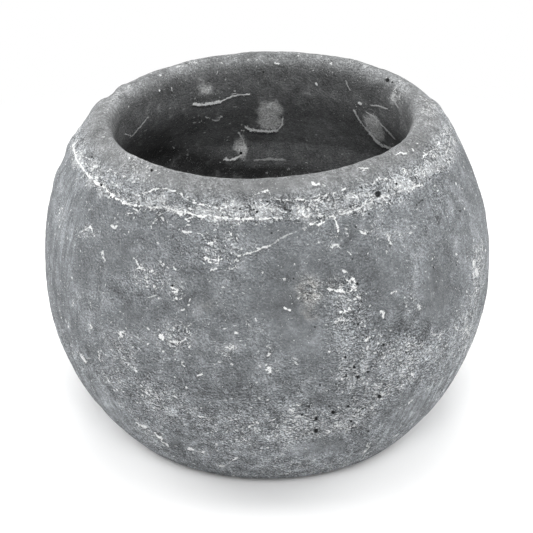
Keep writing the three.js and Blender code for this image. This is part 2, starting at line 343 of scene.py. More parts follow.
INNER_SMEARS = [
    (204, 88, 12, 12, 10, 0.55), (270, 114, 15, 17, 15, 0.8), (269, 123, 13, 6, 0, 0.6),
    (240, 146, 9, 12, 20, 0.6), (243, 152, 5, 7, 20, 0.6), (222, 152, 10, 10, 0, 0.25),
    (373, 126, 9, 14, -35, 0.9), (380, 136, 6, 7, -35, 0.5), (270, 160, 17, 2, 0, 0.6),
    (322, 125, 6, 9, 0, 0.2), (335, 100, 50, 4, 12, 0.2), (215, 118, 14, 6, 0, 0.3),
    (396, 95, 7, 12, 20, 0.6), (150, 110, 16, 8, -30, 0.2),
]
# Painted shade on the inner wall, darkest low down behind the front rim; a strength below zero paints light
# instead.
PAINTED_SHADE_PATCHES = [
    (200, 164, 60, 13, 8, 1.0), (262, 172, 60, 7, 0, 0.9), (150, 142, 34, 20, 30, 0.6),
    (185, 135, 30, 26, 0, 0.3), (322, 138, 44, 18, 8, -0.5), (270, 80, 80, 10, 0, -0.2),
    (240, 115, 50, 16, 0, -0.15),
]
# Bumps and hollows of the rim and the shoulder, with their height in millimetres instead of a strength.
HAND_BUMPS = [
    (97, 101, 9, 9, 0, 1.0), (84, 121, 9, 11, 30, -0.9), (72, 144, 9, 9, 0, 0.9), (121, 88, 8, 7, 0, 0.9),
    (109, 94, 6, 6, 0, -0.6), (56, 177, 8, 10, 0, 0.8), (64, 160, 6, 8, 0, -0.5), (440, 104, 9, 9, 0, 0.9),
    (452, 124, 8, 10, 0, 0.7), (428, 95, 10, 7, 0, -0.5), (265, 53, 60, 6, 0, 1.0),
    (200, 59, 24, 6, 0, 0.6), (345, 60, 26, 7, 0, 0.7), (150, 166, 26, 10, 20, 0.8),
    (200, 195, 24, 8, 5, -0.9), (262, 188, 34, 8, 0, 0.7), (330, 200, 30, 8, -10, -0.8),
    (385, 178, 26, 10, -25, 0.8), (252, 238, 46, 12, -16, -0.8), (215, 262, 40, 10, -12, 0.7),
    (300, 250, 36, 16, -20, 0.6), (360, 280, 30, 26, 0, -0.7), (285, 330, 26, 36, 10, -0.9),
    (225, 320, 34, 30, 0, 0.7), (345, 345, 26, 30, 20, 0.7), (150, 310, 34, 30, 0, -0.6),
    (405, 330, 24, 30, 20, -0.7), (180, 400, 40, 24, 20, 0.7), (300, 420, 44, 18, 0, 0.6),
    (380, 405, 30, 20, -35, 0.6), (250, 380, 40, 20, 0, -0.6), (95, 250, 20, 40, 0, -0.5),
]
NOWHERE = 1e3  # pixels, further than any mark
FAR = 50.0  # pixels past which a distance needn't be kept
FRONT_HALF = 20.0  # places with a smaller y face the photograph
FAR_LIP_LINE = 90.0  # pixels: pits above this line lie on the far lip
DEEPEST_SEEN = 60.0  # the photograph shows nothing lower inside


def mark_fields(places, marks):
    """Way to the nearest mark in pixels, how far it is, and that mark's width and strength."""
    near = np.full(len(places), NOWHERE)
    way = np.zeros((len(places), 2))
    width = np.ones(len(places))
    power = np.zeros(len(places))
    for half_width, strength, points in marks:
        for start, end in zip(points[:-1], points[1:]):
            start, end = np.array(start, float), np.array(end, float)
            along = end - start
            share = np.clip((places - start) @ along / (along @ along), 0.0, 1.0)
            to_mark = start + share[:, None] * along - places
            reach = np.linalg.norm(to_mark, axis=1)
            closer = reach < near
            near[closer] = reach[closer]
            way[closer] = to_mark[closer]
            width[closer] = half_width
            power[closer] = strength
    return way, near, width, power


def patch_field(places, patches):
    """Soft sum of elliptical patches."""
    total = np.zeros(len(places))
    for x, y, half_width, half_height, turn, strength in patches:
        angle = math.radians(turn)
        away = places - np.array((x, y), float)
        across = (away[:, 0] * math.cos(angle) + away[:, 1] * math.sin(angle)) / half_width
        down = (-away[:, 0] * math.sin(angle) + away[:, 1] * math.cos(angle)) / half_height
        total += strength * np.exp(-1.2 * (across * across + down * down) ** 1.5)
    return total


# ======== The casting ========

def half_axis(width, inset, rise):
    """Vertical half axis of an ellipse that is that much narrower at that rise."""
    return rise / math.sqrt(1 - ((width - inset) / width) ** 2)


def belly_arc(width, axis, start, end, spacing):
    first, last = (math.asin((height - BELLY_HEIGHT) / axis) for height in (start, end))
    count = max(2, round(abs(last - first) * (width + axis) / 2 / spacing))
    angles = np.linspace(first, last, count + 1)
    return [(width * math.cos(a), BELLY_HEIGHT + axis * math.sin(a)) for a in angles]


def bend(start, control, end, spacing):
    start, control, end = (np.array(point) for point in (start, control, end))
    count = max(2, round(np.linalg.norm(end - start) / spacing))
    t = np.linspace(0, 1, count + 1)[:, None]
    return [tuple(p) for p in (1 - t) ** 2 * start + 2 * t * (1 - t) * control + t**2 * end]


def straight(start, end, spacing):
    count = max(1, round(math.dist(start, end) / spacing))
    return [tuple(p) for p in np.linspace(start, end, count + 1)]


def outside_section(base, crease, crest, lower_axis, upper_axis):
    """Soft edge, belly and rim band, and which of the points is the crease."""
    lower = belly_arc(BELLY_RADIUS, lower_axis, BASE_EDGE / 2, BELLY_HEIGHT, SKIN_STEP)
    edge = bend((base - BASE_EDGE, 0), (base, 0), lower[0], SKIN_STEP)
    upper = belly_arc(BELLY_RADIUS, upper_axis, BELLY_HEIGHT, crease[1], SKIN_STEP)
    chord = np.array(crest) - np.array(crease)
    outward = np.array((chord[1], -chord[0])) / np.linalg.norm(chord)
    band_middle = (np.array(crease) + np.array(crest)) / 2 + 2 * BAND_BULGE * outward
    band = bend(crease, band_middle, crest, BAND_STEP)
    below = edge + lower[1:] + upper[1:]
    return below + band[1:], len(below) - 1


def inside_section(crest, lower_axis, upper_axis):
    """Lip, slope under it, wall, and floor up to the plug's recess."""
    mouth = (crest[0] - LIP_ROUND_WIDTH, crest[1] - LIP_ROUND_DROP)
    lip_count = round(math.pi / 4 * (LIP_ROUND_WIDTH + LIP_ROUND_DROP) / BAND_STEP)
    lip = [(crest[0] - LIP_ROUND_WIDTH * math.sin(a), mouth[1] + LIP_ROUND_DROP * math.cos(a))
           for a in np.linspace(0, math.pi / 2, lip_count + 1)]
    corner_below = (mouth[0] + LIP_FLARE, mouth[1] - LIP_FACE - LIP_NOSE)
    face_end = (corner_below[0] - LIP_LEAN, corner_below[1] + LIP_ROUNDING)
    face = straight(mouth, face_end, BAND_STEP)
    inner = BELLY_RADIUS - WALL
    upper = belly_arc(inner, upper_axis - WALL, corner_below[1] - LEDGE_DROP, BELLY_HEIGHT, INSIDE_STEP)
    slope = np.array(upper[0]) - np.array(corner_below)
    nose_end = tuple(np.array(corner_below) + slope * LIP_ROUNDING / np.linalg.norm(slope))
    nose = bend(face_end, corner_below, nose_end, BAND_STEP)
    ledge = straight(nose_end, upper[0], LEDGE_STEP)
    lower = belly_arc(inner, lower_axis - WALL, BELLY_HEIGHT, FLOOR + FLOOR_FILLET / 2, INSIDE_STEP)
    foot = lower[-1]
    corner = bend(foot, (foot[0] - FLOOR_FILLET / 2, FLOOR), (foot[0] - FLOOR_FILLET, FLOOR), FILLET_STEP)
    level = straight(corner[-1], (SEAT_RADIUS, FLOOR), FLOOR_STEP)
    return sum((line[1:] for line in (lip, face, nose, ledge, upper, lower, corner, level)), [])


def casting_section():
    """Radius and height of the section once round from the underside, and each point's run."""
    lower_axis = half_axis(BELLY_RADIUS, BASE_INSET, BELLY_HEIGHT)
    upper_axis = half_axis(BELLY_RADIUS, SHOULDER_INSET, SHOULDER_RISE)
    base = BELLY_RADIUS - BASE_INSET
    crease = (BELLY_RADIUS - SHOULDER_INSET, BELLY_HEIGHT + SHOULDER_RISE)
    crest = (crease[0] - CREST_INSET, crease[1] + RIM_RISE)
    outside, crease_index = outside_section(base, crease, crest, lower_axis, upper_axis)
    seat = FLOOR - SEAT_DEPTH
    drain = [(SEAT_RADIUS, seat), (HOLE_RADIUS + HOLE_TAPER, seat), (HOLE_RADIUS + HOLE_TAPER / 2, seat / 2),
             (HOLE_RADIUS, 0)]
    underside = straight((HOLE_RADIUS, 0), (base - BASE_EDGE, 0), FLOOR_STEP)
    section = np.array(outside + inside_section(crest, lower_axis, upper_axis) + drain + underside[1:-1])
    run = np.concatenate(((0.0,), np.cumsum(np.linalg.norm(np.diff(section, axis=0), axis=1))))
    return section, run - run[crease_index]


def spun_casting():
    """The smooth casting as a bmesh, with the run from the crease on its vertices."""
    section, run = casting_section()
    bm = bmesh.new()
    run_layer = bm.verts.layers.float.new("run")
    ring = []
    for (radius, height), distance in zip(section, run):
        vert = bm.verts.new((radius, 0.0, height + UNDERSIDE))
        vert[run_layer] = distance
        ring.append(vert)
    for first, second in zip(ring, ring[1:] + ring[:1]):
        bm.edges.new((first, second))
    bmesh.ops.spin(bm, geom=bm.verts[:] + bm.edges[:], cent=(0, 0, 0), axis=(0, 0, 1), angle=math.tau / 8,
                   steps=ROUND_STEPS // 8)
    for share_of_turn in (8, 4, 2):
        twin = bmesh.ops.duplicate(bm, geom=bm.verts[:] + bm.edges[:] + bm.faces[:])["geom"]
        bmesh.ops.rotate(bm, cent=(0, 0, 0), matrix=Matrix.Rotation(math.tau / share_of_turn, 3, "Z"),
                         verts=[part for part in twin if isinstance(part, bmesh.types.BMVert)])
    bmesh.ops.remove_doubles(bm, verts=bm.verts, dist=0.01)
    bmesh.ops.recalc_face_normals(bm, faces=bm.faces)
    return bm


def form_rim_by_hand(points):
    """Tilts and shifts what lies above the belly, more towards the rim, as in the solids."""
    crest_height = BELLY_HEIGHT + SHOULDER_RISE + RIM_RISE
    share = smooth_step(BELLY_HEIGHT, crest_height, points[:, 2] - UNDERSIDE)
    formed = points.copy()
    formed[:, 0] += share * RIM_SHIFT
    formed[:, 2] += share * math.tan(math.radians(RIM_TILT)) * points[:, 0]
    return formed


def refine_round_pits(bm):
    """Finer faces where a pit is deep enough to be modelled."""
    co = np.array([v.co for v in bm.verts])
    places = photo_position(co)
    facing_front = co[:, 1] < FRONT_HALF
    chosen = np.zeros(len(co), bool)
    for x, y, radius in PITS:
        if radius >= MODELLED_PIT:
            near = np.linalg.norm(places - np.array((x, y)), axis=1) < PIT_REACH + radius * PIT_REACH
            chosen |= near & (facing_front | (y < FAR_LIP_LINE))
    bm.verts.index_update()
    run_layer = bm.verts.layers.float["run"]
    picked = [v for v in bm.verts if chosen[v.index] and v[run_layer] < PIT_RUN]
    edges = {e for v in picked for f in v.link_faces for e in f.edges}
    bmesh.ops.subdivide_edges(bm, edges=list(edges), cuts=2, use_grid_fill=True)


def vectors_of(elements, name):
    values = np.zeros(len(elements) * 3)
    elements.foreach_get(name, values)
    return values.reshape(-1, 3)


def numbers_of(mesh, name):
    values = np.zeros(len(mesh.vertices))
    mesh.attributes[name].data.foreach_get("value", values)
    return values


def store(mesh, name, values):
    """Keeps a painted number or a way across the photograph on the vertices."""
    if values.ndim == 1:
        mesh.attributes.new(name, "FLOAT", "POINT").data.foreach_set("value", values.astype(np.float32))
    else:
        flat = np.concatenate((values, np.zeros((len(values), 1))), axis=1).astype(np.float32)
        mesh.attributes.new(name, "FLOAT_VECTOR", "POINT").data.foreach_set("vector", flat.ravel())


class Skin:
    """The casting's vertices, and how the photograph shows each of them."""

    def __init__(self, mesh):
        self.co = vectors_of(mesh.vertices, "co")
        self.height = self.co[:, 2]
        self.normal = vectors_of(mesh.vertex_normals, "vector")
        run = numbers_of(mesh, "run")
        underneath = (self.height < UNDERSIDE + 0.5) & (np.abs(run) > RUN_LIMIT)
        self.run = np.clip(np.where(underneath, -RUN_LIMIT, run), -RUN_LIMIT, RUN_LIMIT)
        self.inside = smooth_step(CREST_RUN, MOUTH_RUN, self.run)
        self.is_inner = self.run > INNER_RUN
        self.places = photo_position(self.co)
        to_eye = camera_eye() - self.co
        facing = np.einsum("ij,ij->i", self.normal, to_eye / np.linalg.norm(to_eye, axis=1)[:, None])
        self.inner_seen = (facing > 0.0) & self.is_inner & (self.height > DEEPEST_SEEN)
        self.hidden = ~((facing > 0.0) & ~self.is_inner | self.inner_seen)
        self.shown = smooth_step(-0.35, -0.05, facing) * ~self.is_inner
        self.unshown = (1.0 - self.shown) * ~self.is_inner


def placed_marks(skin):
    """Strokes and pits, on the vertices that the photograph shows."""
    outer = mark_fields(skin.places, CREASE_CRUST + SHOULDER_STROKES + BELLY_FLECKS)
    inner = mark_fields(skin.places, INNER_STROKES)
    for field, inner_field in zip(outer, inner):
        field[skin.inner_seen] = inner_field[skin.inner_seen]
    way, near, width, power = outer
    pit_marks = [(radius, 1.0, [(x, y), (x + 0.01, y)]) for x, y, radius in PITS]
    pit_way, pit_near, pit_radius, _ = mark_fields(skin.places, pit_marks)
    near[skin.hidden] = NOWHERE
    power[skin.hidden] = 0.0
    pit_near[skin.hidden] = NOWHERE
    return {
        "mark_way": way, "mark_near": np.minimum(near, FAR), "mark_width": width, "mark_power": power,
        "pit_way": pit_way, "pit_near": np.minimum(pit_near, FAR), "pit_radius": pit_radius,
    }


def painted_patches(skin):
    """Soft patches, 1 at most. What the photograph doesn't show gets clouds of the same kinds."""
    def outer(patches):
        return skin.shown * patch_field(skin.places, patches)

    def inner(patches):
        return skin.inner_seen * patch_field(skin.places, patches)

    cloud = fractal(skin.co, *CHALK_CLOUDS)
    cloud_two = fractal(skin.co, *POLISH_CLOUDS)
    low_down = smooth_step(150.0, 50.0, skin.height)
    over_crease = 0.4 * smooth_step(-6.0, 2.0, skin.run) * smooth_step(26.0, 10.0, skin.run)
    patches = {
        # painted shade: darker low down inside the bowl, and in the painted shade patches
        "deep": 0.6 * skin.inside * smooth_step(110.0, 80.0, skin.height) + inner(PAINTED_SHADE_PATCHES),
        "chalk": outer(CHALKY_PATCHES) + inner(INNER_SMEARS)
        + skin.unshown * smooth_step(0.05, 0.45, cloud) * 0.7,
        "polish": outer(TROWELLED_PATCHES) + skin.unshown * smooth_step(0.1, 0.5, cloud_two) * 0.8,
        "brush": outer(BRUSHED_PATCHES) + skin.unshown * smooth_step(0.0, 0.4, cloud - cloud_two) * 0.7,
        "warm": outer(WARM_PATCHES),
        "grit": (low_down + over_crease) * ~skin.is_inner + outer(GRITTY_PATCHES),
    }
    return {name: np.minimum(field, 1.0) for name, field in patches.items()}


def relief(skin, fields):
    """How far each vertex is raised along its normal, in millimetres."""
    softer_inside = 1.0 - 0.6 * skin.inside
    lumps = fractal(skin.co, *LUMPS) * LUMP_HEIGHT
    dents = fractal(skin.co, *DENTS) * DENT_HEIGHT
    rough = fractal(skin.co, *ROUGHNESS) * ROUGH_HEIGHT * (1 - 0.7 * fields["polish"])
    bumps = patch_field(skin.places, HAND_BUMPS) * skin.shown
    above_foot = smooth_step(4.0, 16.0, skin.height - UNDERSIDE)
    above_floor = 1.0 - smooth_step(60.0, 40.0, skin.height) * skin.is_inner
    uneven = softer_inside * (lumps * (1 - 0.5 * skin.shown) + dents) + rough + bumps

    crust_band = np.exp(-((skin.run - 3.0) / 6.5) ** 2) * ~skin.is_inner
    ridged = np.clip(1.0 - np.abs(fractal(skin.co, *CRUST_RIDGES)) * 2.2, -0.3, 1.0)
    crust = crust_band * (0.25 + 0.75 * fields["chalk"]) * ridged * CRUST_HEIGHT
    crease = np.exp(-(skin.run / CREASE_WIDTH) ** 2) * -CREASE_DEPTH * ~skin.is_inner

    stroke_reach = fields["mark_width"] * 1.2 + 0.8
    strokes = np.exp(-((fields["mark_near"] / stroke_reach) ** 2)) * fields["mark_power"] * STROKE_HEIGHT
    radius = fields["pit_radius"]
    hollow = np.clip(1.0 - (fields["pit_near"] * PIXEL / radius) ** 2, 0.0, 1.0) ** 0.6
    pits = radius * PIT_DEPTH * hollow * (radius >= MODELLED_PIT)
    return above_foot * above_floor * uneven + crust + crease + strokes - pits


def sculpt(mesh):
    """Raises the hand-made relief, and keeps the fields for the finish on the vertices."""
    skin = Skin(mesh)
    fields = {"inside": skin.inside, **painted_patches(skin), **placed_marks(skin)}
    raised = skin.co + skin.normal * relief(skin, fields)[:, None]
    mesh.vertices.foreach_set("co", raised.ravel())
    mesh.update()
    mesh.attributes["run"].data.foreach_set("value", skin.run.astype(np.float32))
    for name, values in fields.items():
        store(mesh, name, values)


def new_piece(name, bm):
    """A piece from a bmesh in metres."""
    mesh = bpy.data.meshes.new(name)
    bm.to_mesh(mesh)
    bm.free()
    piece = bpy.data.objects.new(name, mesh)
    bpy.context.scene.collection.objects.link(piece)
    return piece


def make_bowl():
    bm = spun_casting()
    formed = form_rim_by_hand(np.array([v.co for v in bm.verts]))
    for vert, place in zip(bm.verts, formed):
        vert.co = place
    refine_round_pits(bm)
    bowl = new_piece("bowl_skin", bm)
    sculpt(bowl.data)
    bowl.data.transform(Matrix.Scale(MM, 4))
    bowl.data.shade_smooth()
    return bowl


# ======== Plug and pads ========

def turned(profile, steps, rounding):
    """A profile of (radius, height) in millimetres spun about Z, with its sharp rings rounded."""
    bm = bmesh.new()
    line = [bm.verts.new((radius, 0.0, height)) for radius, height in profile]
    for first, second in zip(line, line[1:]):
        bm.edges.new((first, second))
    bmesh.ops.spin(bm, geom=bm.verts[:] + bm.edges[:], cent=(0, 0, 0), axis=(0, 0, 1), angle=math.tau,
                   steps=steps, use_merge=True)
    bmesh.ops.remove_doubles(bm, verts=bm.verts, dist=0.001)
    bmesh.ops.recalc_face_normals(bm, faces=bm.faces)
    bmesh.ops.dissolve_degenerate(bm, edges=bm.edges, dist=0.0005)
    sharp = [e for e in bm.edges if len(e.link_faces) == 2 and e.calc_face_angle() > math.radians(35)]
    bmesh.ops.bevel(bm, geom=sharp, offset=rounding, offset_type="OFFSET", affect="EDGES", segments=2,
                    profile=0.5, material=-1)
    return bm


def rubber_piece(name, bm, middle):
    """A small piece from a bmesh in millimetres, moved to its middle."""
    bmesh.ops.translate(bm, vec=(*middle, 0.0), verts=bm.verts)
    bmesh.ops.scale(bm, vec=(MM, MM, MM), verts=bm.verts)
    piece = new_piece(name, bm)
    piece.data.shade_smooth()
    return piece


def stem_outline(low, seat):
    """From the hollow in the stem's lower end, over its ribs, to the flange."""
    radius = HOLE_RADIUS - PLUG_CLEARANCE
    taper = HOLE_TAPER / (seat - UNDERSIDE)
    hollow = radius - STEM_WALL
    outline = [(0.0, low + STEM_HOLLOW), (hollow, low + STEM_HOLLOW), (hollow - 0.6, low),
               (radius - 1.0, low), (radius, low + 1.2)]
    for rib in np.linspace(low + 4.5, seat - 3.5, RIB_COUNT):
        out = radius + taper * (rib - UNDERSIDE)
        outline += [(out - RIB_DEPTH, rib - 1.3), (out, rib - 0.4), (out, rib + 0.4),
                    (out - RIB_DEPTH, rib + 1.3)]
    return outline + [(radius + HOLE_TAPER - 0.2, seat)]


def flange_outline(radius, seat):
    """Flange with a raised edge, and the neck that rises from its dish."""
    top = seat + FLANGE_THICKNESS
    dish = top - FLANGE_DISH
    return [(radius, seat), (radius, top - 0.7), (radius - 1.6, top), (radius - FLANGE_LIP, dish),
            (8.2, dish), (7.0, top + 0.2), (NECK_RADIUS + 0.1, top + 1.6), (NECK_RADIUS, top + 3.4),
            (6.6, top + 4.1)]


def knob_outline(low, high):
    """Mushroom knob with a dimple in its top."""
    outline = []
    for angle in np.linspace(-0.25, math.pi / 2, 9)[:-1]:
        rise = (high - low) * max(math.sin(angle), -0.06)
        outline.append((KNOB_RADIUS * math.cos(angle) ** 0.8, low + rise))
    return outline + [(2.2, high - 0.1), (1.2, high - 0.5), (0.0, high - KNOB_DIMPLE)]


def make_plug():
    low, high = (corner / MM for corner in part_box("drain_plug"))
    seat = UNDERSIDE + FLOOR - SEAT_DEPTH
    knob_low = seat + FLANGE_THICKNESS + 4.4
    outline = stem_outline(low.z, seat) + flange_outline(high.x, seat) + knob_outline(knob_low, high.z)
    return rubber_piece("rubber_plug", turned(outline, PLUG_STEPS, PLUG_ROUNDING), (0.0, 0.0))


def make_pad(number):
    low, high = (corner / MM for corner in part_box(f"floor_pad_{number}"))
    radius = (high.x - low.x) / 2
    outline = [(0.0, 0.0)]
    for groove in GROOVE_RADII:
        for sides, depth in ((0, 0.0), (1, GROOVE_DEPTH), (2, GROOVE_DEPTH), (3, 0.0)):
            outline.append((groove + sides * GROOVE_SIDE, depth))
    outline += [(radius - PAD_CHAMFER, 0.0), (radius, PAD_CHAMFER), (radius, high.z - PAD_TOP_EDGE),
                (radius - PAD_TOP_EDGE, high.z), (0.0, high.z)]
    middle = ((low.x + high.x) / 2, (low.y + high.y) / 2)
    return rubber_piece(f"rubber_pad_{number}", turned(outline, PAD_STEPS, PAD_ROUNDING), middle)


# ======== Finishes ========

CEMENT_TINT = (0.94, 1.0, 1.055)
RIM_TINT = (0.975, 1.0, 1.015)
CHALK_TINT = (0.99, 1.0, 1.0)
BEIGE_TINT = (1.0, 0.99, 0.95)
RUBBER_TINT = (1.0, 1.0, 1.03)
WHITE = (1.0, 1.0, 1.0, 1.0)
BLACK = (0.0, 0.0, 0.0, 1.0)
FLOOR_GREY = (0.8, 0.8, 0.8, 1.0)

# Levels of light that the surfaces give back.
DARK_CEMENT = 0.116
PALE_CEMENT = 0.186
DULL_CHALK = 0.7
BRIGHT_CHALK = 0.98

# Sizes of the concrete's patterns.
GRAIN = 1.15
CRUMBS = 1.6
SPECKS = 3.2
SHIVERS = 3.4
STREAKS = 3.5
CURLS = 3.6
GAPS = 5.5
THREADS = 8.0
MOTTLE = 9.0
BENDS = 9.0
BEND_REACH = 7.0
BUBBLES = 11.0
CRATERS = 15.0
CREASE_BENDS = 16.0
CLOUDS = 40.0
BUBBLE_CLOUDS = 50.0


class Finish:
    """A material's node tree, built step by step. Every step returns the socket of its result.

    Below, f is a Finish and p are the ConcretePatterns on it.
    """

    def __init__(self, name):
        self.material = bpy.data.materials.new(name)
        self.material.use_nodes = True
        self.tree = self.material.node_tree
        self.tree.nodes.clear()
        self.shader = self.tree.nodes.new("ShaderNodeBsdfPrincipled")
        output = self.tree.nodes.new("ShaderNodeOutputMaterial")
        self.tree.links.new(self.shader.outputs["BSDF"], output.inputs["Surface"])

    def feed(self, socket, value):
        if isinstance(value, bpy.types.NodeSocket):
            self.tree.links.new(value, socket)
        else:
            socket.default_value = value

    def give(self, name, value):
        """Feeds one of the shader's own sockets."""
        self.feed(self.shader.inputs[name], value)

    def step(self, kind, *values, **settings):
        node = self.tree.nodes.new(kind)
        for name, value in settings.items():
            setattr(node, name, value)
        for socket, value in zip(node.inputs, values):
            self.feed(socket, value)
        return node

    def place(self):
        """Object coordinates in millimetres."""
        return self.scaled(self.step("ShaderNodeTexCoord").outputs["Object"], (1 / MM,) * 3)

    def painted(self, name, part="Fac"):
        return self.step("ShaderNodeAttribute", attribute_name=name).outputs[part]

    def noise(self, vector, size, detail=3.0, roughness=0.5, part="Fac"):
        node = self.step("ShaderNodeTexNoise")
        self.feed(node.inputs["Vector"], vector)
        node.inputs["Scale"].default_value = 1.0 / size
        node.inputs["Detail"].default_value = detail
        node.inputs["Roughness"].default_value = roughness
        return node.outputs[part]

    def lines(self, vector, size, detail, roughness):
        """0 along thin lines that wander through the space, and more away from them."""
        return self.size_of(self.less(self.noise(vector, size, detail, roughness), 0.5))

    def cells(self, vector, size):
        node = self.step("ShaderNodeTexVoronoi")
        self.feed(node.inputs["Vector"], vector)
        node.inputs["Scale"].default_value = 1.0 / size
        return node.outputs

    def parted(self, colour, channel):
        return self.step("ShaderNodeSeparateColor", colour).outputs[channel]

    def vector(self, operation, *values):
        return self.step("ShaderNodeVectorMath", *values, operation=operation).outputs[0]

    def scaled(self, vector, factors):
        return self.vector("MULTIPLY", vector, factors)

    def moved(self, vector, by):
        return self.vector("ADD", vector, by)

    def stretched(self, vector, factor):
        node = self.step("ShaderNodeVectorMath", vector, operation="SCALE")
        self.feed(node.inputs["Scale"], factor)
        return node.outputs[0]

    def length(self, vector):
        return self.step("ShaderNodeVectorMath", vector, operation="LENGTH").outputs["Value"]

    def math(self, operation, first, *others):
        """The operation on one value, or on a row of values from left to right."""
        if not others:
            return self.step("ShaderNodeMath", first, operation=operation).outputs[0]
        for other in others:
            first = self.step("ShaderNodeMath", first, other, operation=operation).outputs[0]
        return first

    def sum(self, *values):
        return self.math("ADD", *values)

    def less(self, a, b):
        return self.math("SUBTRACT", a, b)

    def times(self, *values):
        return self.math("MULTIPLY", *values)

    def over(self, a, b):
        return self.math("DIVIDE", a, b)

    def larger(self, *values):
        return self.math("MAXIMUM", *values)

    def size_of(self, a):
        return self.math("ABSOLUTE", a)

    def ramp(self, value, low, high, out_low=0.0, out_high=1.0, smooth=True):
        """Spreads what lies from low to high over the two out values."""
        kind = "SMOOTHSTEP" if smooth else "LINEAR"
        node = self.step("ShaderNodeMapRange", value, low, high, out_low, out_high, interpolation_type=kind)
        return node.outputs["Result"]

    def fade(self, value, to, start=1.0):
        """The start where the value is 0, and the other number where it is 1."""
        return self.ramp(value, 0.0, 1.0, start, to)

    def blend(self, share, first, second):
        node = self.step("ShaderNodeMix", data_type="RGBA")
        self.feed(node.inputs["Factor"], share)
        self.feed(node.inputs[6], first)
        self.feed(node.inputs[7], second)
        return node.outputs[2]

    def tinted(self, level, tint):
        """A colour of that level, which may vary over the surface."""
        return self.step("ShaderNodeCombineColor", *(self.times(level, part) for part in tint)).outputs[0]

    def bump(self, height, distance, below=None):
        """Relief of that many millimetres where height goes from 0 to 1."""
        node = self.step("ShaderNodeBump")
        node.inputs["Distance"].default_value = distance * MM
        self.feed(node.inputs["Height"], height)
        if below is not None:
            self.feed(node.inputs["Normal"], below)
        return node.outputs["Normal"]


def grey(level, tint):
    return (*(level * np.array(tint)), 1.0)


class ConcretePatterns:
    """The painted fields and the patterns that the layers of the concrete share."""

    def __init__(self, f):
        self.chalk = f.painted("chalk")
        self.polish = f.painted("polish")
        self.brush = f.painted("brush")
        self.grit = f.painted("grit")
        self.warm = f.painted("warm")
        self.inside = f.painted("inside")
        self.run = f.painted("run")
        self.place = f.place()

        # clouds in a bent space, so that nothing runs straight
        bends = self.about_zero(f, BENDS, 2.0, 0.5)
        self.bent = f.moved(self.place, f.scaled(bends, (BEND_REACH,) * 3))
        self.cloud = f.noise(self.bent, CLOUDS, 4.0, 0.55)
        self.mottle = f.noise(self.bent, MOTTLE, 5.0, 0.62)
        self.gaps = f.noise(self.bent, GAPS, 3.0, 0.6)
        self.grain = f.noise(self.place, GRAIN, 1.5, 0.7)

        # crumbs, with painted light along their upper edges and painted shade along their lower ones
        self.flat = f.scaled(self.bent, (1.0, 1.0, 1.25))
        self.crumbs = f.noise(self.flat, CRUMBS, 3.0, 0.7)
        self.crumb_light_and_shade = f.less(self.crumbs, f.noise(f.moved(self.flat, (0.3, 0.0, 0.8)), CRUMBS, 3.0, 0.7))
        self.on_crumbs = f.ramp(self.crumbs, 0.44, 0.56)

        self.crust = self.crease_crust(f)
        self.amount = self.chalk_amount(f)
        self.threshold = f.ramp(self.amount, 0.0, 1.0, 0.71, 0.54, smooth=False)

    def about_zero(self, f, size, detail, roughness):
        """A noise of vectors that point every way."""
        return f.moved(f.noise(self.place, size, detail, roughness, "Color"), (-0.5, -0.5, -0.5))

    def crease_crust(self, f):
        """A band along the crease with wandering edges."""
        wander = f.ramp(f.noise(self.place, CREASE_BENDS, 2.0), 0.3, 0.7, -6.0, 6.0, smooth=False)
        above_crease = f.sum(self.run, wander)
        band = f.times(f.ramp(above_crease, -5.0, 1.0), f.ramp(above_crease, 13.0, 3.0))
        return f.times(band, f.less(1.0, self.inside))

    def chalk_amount(self, f):
        """Where chalk has bloomed: painted patches, the crust, clouds, and the surroundings of strokes."""
        power = f.times(f.painted("mark_power"), 0.25)
        amount = f.sum(
            f.times(self.chalk, 0.7), f.times(self.crust, 0.35), f.ramp(self.cloud, 0.35, 0.75, 0.05, 0.4),
            f.times(f.ramp(f.painted("mark_near"), 6.0, 0.0), power),
            f.sum(f.times(self.grit, 0.2), f.times(self.warm, 0.25)))
        return f.less(f.less(amount, f.times(self.polish, 0.45)), f.times(self.inside, 0.22))


def curls_of_slurry(f, p):
    """Short curled lines, and the shade under them."""
    reach = f.ramp(p.amount, 0.1, 1.0, 0.004, 0.05)
    curl = f.lines(p.flat, CURLS, 2.0, 0.5)
    curl_above = f.lines(f.moved(p.flat, (0.0, 0.0, 1.0)), CURLS, 2.0, 0.5)
    curls = f.times(f.ramp(f.over(curl, reach), 1.0, 0.4), p.on_crumbs)
    shade = f.times(f.ramp(f.over(curl_above, reach), 1.0, 0.4), f.ramp(p.amount, 0.1, 0.8))
    return curls, shade


def threads_of_slurry(f, p):
    reach = f.ramp(p.amount, 0.2, 1.0, 0.001, 0.03)
    threads = f.ramp(f.over(f.lines(p.bent, THREADS, 4.0, 0.62), reach), 1.0, 0.4)
    return f.times(threads, p.on_crumbs)


def white_specks(f, p):
    dots = f.cells(p.flat, SPECKS)
    size = f.ramp(f.parted(dots["Color"], 0), f.ramp(p.amount, 0.0, 0.8, 0.92, 0.5), 1.0, 0.0, 0.3)
    distance = f.sum(dots["Distance"], f.times(f.less(p.crumbs, 0.5), 1.8))
    return f.times(f.ramp(f.less(distance, size), 0.0, -0.08), f.fade(p.inside, 0.45))


def crater_rims(f, p):
    """Thin white rings, where bubbles burst."""
    craters = f.cells(p.bent, CRATERS)
    size = f.ramp(f.parted(craters["Color"], 1), 0.6, 1.0, 0.0, 0.14, smooth=False)
    distance = f.sum(craters["Distance"], f.times(f.less(p.crumbs, 0.5), 0.2))
    rim = f.ramp(f.size_of(f.less(distance, size)), 0.035, 0.01)
    return f.times(rim, f.ramp(size, 0.02, 0.05), f.less(1.0, p.inside), p.on_crumbs)


